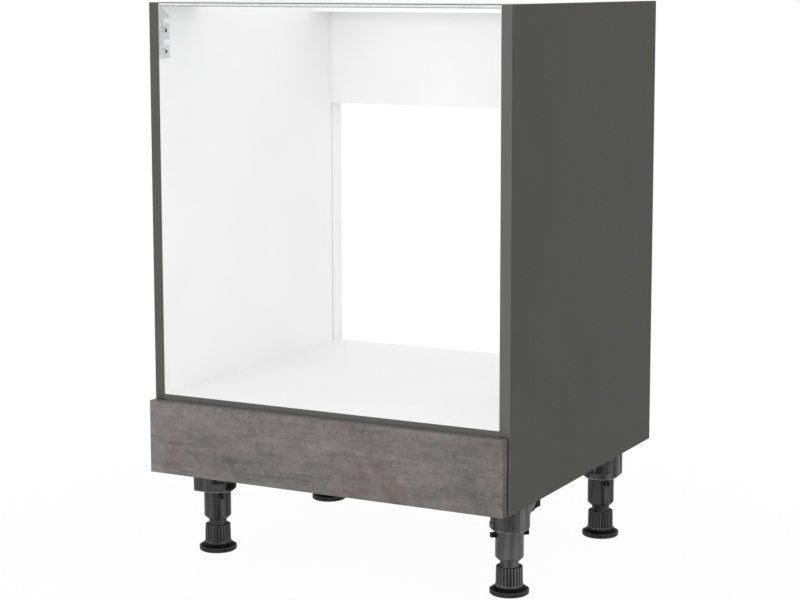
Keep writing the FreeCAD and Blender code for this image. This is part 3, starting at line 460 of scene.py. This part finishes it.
def paint_sides():
    """Dark outside, white inside and in the groove, raw chipboard on the cut edges."""
    for side in ("left", "right"):
        low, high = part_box(side + "_side_panel")
        outer = high.x if side == "right" else low.x

        def choose(flat):
            middle = flat.center
            if near(middle.x, outer):
                return 0
            on_rim = near(middle.z, low.z) or near(middle.z, high.z) or near(middle.y, high.y)
            return 2 if on_rim else 1

        face_paint(side + "_side_panel", choose, DARK, WHITE, CHIP)


def paint_boards():
    """White boards with white faces and front edges, and raw cut edges behind."""
    for name in ("oven_shelf", "base_panel", "rear_traverse"):
        low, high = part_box(name)

        def choose(flat):
            middle = flat.center
            on_face = near(middle.z, low.z) or near(middle.z, high.z) or near(middle.y, low.y)
            return 0 if on_face else 1

        face_paint(name, choose, WHITE, CHIP)
    strip_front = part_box("back_strip")[0].y

    def on_strip(flat):
        return 0 if near(flat.center.y, strip_front) else 1

    face_paint("back_strip", on_strip, WHITE, FIBRE)


def paint_traverse():
    """Galvanised sheet, duller and painted dark on its folds as a painted reflection, and a darker
    painted shade on the front lip.
    """
    def choose(flat):
        if flat.normal.y < -FACING and flat.center.z > LIP_BOTTOM:
            return 2
        return 1 if flat.normal.y < -TILTED and flat.normal.z > TILTED else 0

    face_paint("front_traverse", choose, SHEET, FOLD_REFLECTION, LIP)


def paint_fascia():
    """Stone decor, darker on the ends, with a plain top edge."""
    def choose(flat):
        if flat.normal.z > FACING:
            return 2
        return 1 if abs(flat.normal.x) > FACING else 0

    face_paint("fascia", choose, STONE, STONE_EDGE, FASCIA_TOP)


def paint_legs():
    """Black plastic, a paler copy as painted light on the front right leg; near black and dull on
    hooks and the ear; near black as painted shade on lug groove floors, the collar's top and the
    glides' upper faces; darker and duller as painted shade in the flutes, and darker on the glides'
    sides.
    """
    for corner, turn in LEG_TURNS.items():
        low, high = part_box(corner + "_leg_tube")
        axis = (low + high) / 2
        tube_radius = (high.x - low.x) / 2
        collar_top = low.z - NECK_LENGTH
        angle = math.radians(turn)

        def on_bracket(flat):
            away = flat.center - axis
            behind = away.y * math.cos(angle) - away.x * math.sin(angle)
            hook = flat.center.z < high.z and math.hypot(away.x, away.y) > tube_radius
            # Near black on hooks and the ear, and as painted shade on the lug's groove floors
            return 1 if hook or behind > EAR_START or near(behind, GROOVE_FLOOR) else 0

        def on_screw(flat):
            away = flat.center - axis
            # Painted shade: the collar's top face near black, its flutes darker
            if near(flat.center.z, collar_top):
                return 2
            flute = flat.center.z < collar_top and math.hypot(away.x, away.y) < FLUTE_RADIUS
            return 1 if flute else 0

        def on_glide(flat):
            # Painted shade: the glide's upward faces near black; its sides darker
            return 1 if flat.normal.z > UPWARDS else 0

        # Painted light: the front right leg gets the paler copies
        plain, ring = (LIT_LEG, LIT_RING) if corner == "front_right" else (LEG, RING)
        face_paint(corner + "_leg_bracket", on_bracket, ring, BLACK)
        face_paint(corner + "_foot_screw", on_screw, plain, SHADE, BLACK)
        face_paint(corner + "_foot_glide", on_glide, SHADE, BLACK)
        paint(corner + "_leg_tube", plain)


def paint_rest():
    """The other nodes, each in one material."""
    looks = {
        BAND: ["left_edge_band"],
        LIT_BAND: ["right_edge_band"],
        LIT_SHELF_BAND: ["shelf_edge_band"],
        ZINC: ["cam_locks", "cam_bolts", "left_fascia_bracket", "right_fascia_bracket"],
        BEECH: ["wooden_dowels"],
    }
    for material, names in looks.items():
        for name in names:
            paint(name, material)


def solids_of(name):
    """The points of each separate solid in a CAD node."""
    mesh = bmesh.new()
    mesh.from_mesh(nodes[name].data)
    bmesh.ops.remove_doubles(mesh, verts=mesh.verts, dist=TINY)
    mesh.verts.ensure_lookup_table()
    left = set(range(len(mesh.verts)))
    solids = []
    while left:
        found = [min(left)]
        left.discard(found[0])
        for index in found:
            for edge in mesh.verts[index].link_edges:
                other = edge.other_vert(mesh.verts[index]).index
                if other in left:
                    left.discard(other)
                    found.append(other)
        solids.append([mesh.verts[index].co.copy() for index in found])
    mesh.free()
    return solids


def screw_rings(angle, length):
    """Radius and depth below the seat of each ring of a screw, at one angle round it."""
    off_wing = (angle + math.pi / 4) % (math.pi / 2) - math.pi / 4
    wide = WING_HALF / max(abs(math.sin(off_wing)), TINY)
    reach = min(WING_REACH, wide)
    wing_depth = RECESS_DEPTH * (1 - RECESS_RISE * reach / WING_REACH)
    top = -HEAD_HEIGHT
    rings = [(reach * RECESS_MIDDLE, top + RECESS_DEPTH)]
    rings += [(reach * radius, top + wing_depth * depth) for radius, depth in RECESS_OUTLINE]
    rings += [(HEAD_RADIUS * radius, top * height) for radius, height in HEAD_OUTLINE]
    rings.append((SHANK_RADIUS, 0.0))
    steps = int(length / THREAD_PITCH * RINGS_PER_TURN)
    tip = TIP_TURNS * THREAD_PITCH
    for step in range(1, steps):
        depth = length * step / steps
        phase = (depth / THREAD_PITCH - angle / math.tau) % 1
        radius = SHANK_RADIUS - THREAD_DEPTH * abs(2 * phase - 1)
        rings.append((radius * min(1, (length - depth) / tip + TIP_SHARE), depth))
    return rings


def add_screw(mesh, seat, drive, length):
    """Add a pan-head screw with a cross recess to a mesh, driven from its seat in one direction."""
    side = drive.orthogonal().normalized()
    other = drive.cross(side)
    columns = []
    for index in range(SCREW_SIDES):
        angle = math.tau * index / SCREW_SIDES
        outwards = side * math.cos(angle) + other * math.sin(angle)
        columns.append([mesh.verts.new(seat + outwards * radius + drive * depth)
                        for radius, depth in screw_rings(angle, length)])
    bottom = mesh.verts.new(seat + drive * (RECESS_DEPTH - HEAD_HEIGHT))
    tip = mesh.verts.new(seat + drive * length)
    # Material 1, the cross recess, is painted shade
    for column, following in zip(columns, columns[1:] + columns[:1]):
        mesh.faces.new((bottom, following[0], column[0])).material_index = 1
        mesh.faces.new((tip, column[-1], following[-1]))
        for ring in range(len(column) - 1):
            here, after = column[ring:ring + 2], following[ring:ring + 2]
            face = mesh.faces.new((here[0], after[0], after[1], here[1]))
            face.material_index = 1 if ring < len(RECESS_OUTLINE) else 0


def screws(name):
    """Detailed screws in place of a CAD group's plain ones."""
    mesh = bmesh.new()
    for points in solids_of(name):
        low = Vector([min(point[axis] for point in points) for axis in range(3)])
        high = Vector([max(point[axis] for point in points) for axis in range(3)])
        long = max(range(3), key=lambda axis: high[axis] - low[axis])
        middle = (low + high) / 2
        head_points = []
        for point in points:
            away = point - middle
            if away.length_squared - away[long] ** 2 > (HEAD_FROM * SHANK_RADIUS) ** 2:
                head_points.append(point)
        head = sum(point[long] for point in head_points) / len(head_points)
        drive = Vector((0.0, 0.0, 0.0))
        drive[long] = 1.0 if head < middle[long] else -1.0
        total = high[long] - low[long]
        seat = middle + drive * (HEAD_HEIGHT - total / 2)
        add_screw(mesh, seat, drive, total - HEAD_HEIGHT)
    bmesh.ops.recalc_face_normals(mesh, faces=mesh.faces)
    data = bpy.data.meshes.new(name + "_detailed")
    mesh.to_mesh(data)
    mesh.free()
    data.shade_smooth()
    data.set_sharp_from_angle(angle=math.radians(SHARP_ANGLE))
    data.materials.append(ZINC)
    data.materials.append(RECESS_SHADE)
    piece = bpy.data.objects.new(name + "_detailed", data)
    scene.collection.objects.link(piece)
    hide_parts(name)
    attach(piece, "carcass")


def camera():
    """The photograph's camera."""
    data = bpy.data.cameras.new("photo_camera")
    data.sensor_width = SENSOR_WIDTH
    data.lens = FOCAL_PIXELS / IMAGE_WIDTH * SENSOR_WIDTH
    data.shift_x = (MIDDLE_PIXEL[0] - AXIS_PIXEL[0]) / IMAGE_WIDTH
    data.shift_y = (AXIS_PIXEL[1] - MIDDLE_PIXEL[1]) / IMAGE_WIDTH
    made = bpy.data.objects.new("photo_camera", data)
    made.location = CAMERA_PLACE
    made.rotation_euler = (math.radians(90 - CAMERA_PITCH), 0.0, math.radians(CAMERA_YAW))
    scene.collection.objects.link(made)
    scene.camera = made


def softbox(name, place, target, size, power):
    """A soft lamp turned to a target."""
    data = bpy.data.lights.new(name, "AREA")
    data.shape = "RECTANGLE"
    data.size, data.size_y = size
    data.energy = power
    made = bpy.data.objects.new(name, data)
    made.location = place
    made.rotation_euler = (Vector(target) - Vector(place)).to_track_quat("-Z", "Y").to_euler()
    scene.collection.objects.link(made)


def white_world():
    """White surroundings that light the object at a plain level."""
    world = bpy.data.worlds.new("studio_world")
    world.use_nodes = True
    scene.world = world
    background = world.node_tree.nodes["Background"]
    background.inputs["Color"].default_value = (1.0, 1.0, 1.0, 1.0)
    background.inputs["Strength"].default_value = 1.0


def looked_at(tree):
    """1 where the camera, a reflection or glass looks at a surface, and 0 for bounced light."""
    path = tree.nodes.new("ShaderNodeLightPath")
    seen = path.outputs["Is Camera Ray"]
    for ray in ("Is Glossy Ray", "Is Transmission Ray"):
        either = tree.nodes.new("ShaderNodeMath")
        either.operation = "MAXIMUM"
        tree.links.new(seen, either.inputs[0])
        tree.links.new(path.outputs[ray], either.inputs[1])
        seen = either.outputs[0]
    return seen


def paper():
    """White paper that bounces light, keeps a shadow and lets the white surroundings show."""
    material = bpy.data.materials.new("studio_paper")
    material.use_nodes = True
    tree = material.node_tree
    tree.nodes.clear()
    diffuse = tree.nodes.new("ShaderNodeBsdfDiffuse")
    diffuse.inputs["Color"].default_value = (PAPER_WHITE, PAPER_WHITE, PAPER_WHITE, 1.0)
    clear = tree.nodes.new("ShaderNodeBsdfTransparent")
    clear.inputs["Color"].default_value = (1.0, 1.0, 1.0, 1.0)
    place = tree.nodes.new("ShaderNodeTexCoord")
    distance = tree.nodes.new("ShaderNodeVectorMath")
    distance.operation = "LENGTH"
    tree.links.new(place.outputs["Object"], distance.inputs[0])
    fade = tree.nodes.new("ShaderNodeMapRange")
    fade.inputs["From Min"].default_value = CLEARS_FROM
    fade.inputs["From Max"].default_value = CLEARS_TO
    fade.inputs["To Min"].default_value = PAPER_CLEAR
    fade.inputs["To Max"].default_value = 1.0
    tree.links.new(distance.outputs["Value"], fade.inputs["Value"])
    share = tree.nodes.new("ShaderNodeMath")
    share.operation = "MULTIPLY"
    tree.links.new(looked_at(tree), share.inputs[0])
    tree.links.new(fade.outputs[0], share.inputs[1])
    mix = tree.nodes.new("ShaderNodeMixShader")
    tree.links.new(share.outputs[0], mix.inputs[0])
    tree.links.new(diffuse.outputs[0], mix.inputs[1])
    tree.links.new(clear.outputs[0], mix.inputs[2])
    out = tree.nodes.new("ShaderNodeOutputMaterial")
    tree.links.new(mix.outputs[0], out.inputs["Surface"])
    return material


def floor():
    """A plain floor just under the feet."""
    mesh = bpy.data.meshes.new("studio_floor")
    signs = ((-1, -1), (1, -1), (1, 1), (-1, 1))
    corners = [(x * FLOOR_REACH, y * FLOOR_REACH, 0) for x, y in signs]
    mesh.from_pydata(corners, [], [(0, 1, 2, 3)])
    mesh.materials.append(paper())
    made = bpy.data.objects.new("studio_floor", mesh)
    made.location.z = -FLOOR_DROP
    scene.collection.objects.link(made)


paint_sides()
paint_boards()
paint_traverse()
paint_fascia()
paint_legs()
paint_rest()
for group in ("traverse_screws", "fascia_screws", "leg_screws", "back_strip_screws"):
    screws(group)

camera()
white_world()
floor()
softbox("key_softbox", place=(1.4, -2.9, 1.1), target=(0.0, 0.0, 0.4), size=(1.0, 1.4), power=17)
softbox("fill_softbox", place=(-1.7, -3.3, 1.6), target=(0.0, 0.0, 0.5), size=(1.6, 1.6), power=6)
scene.view_settings.view_transform = "Standard"
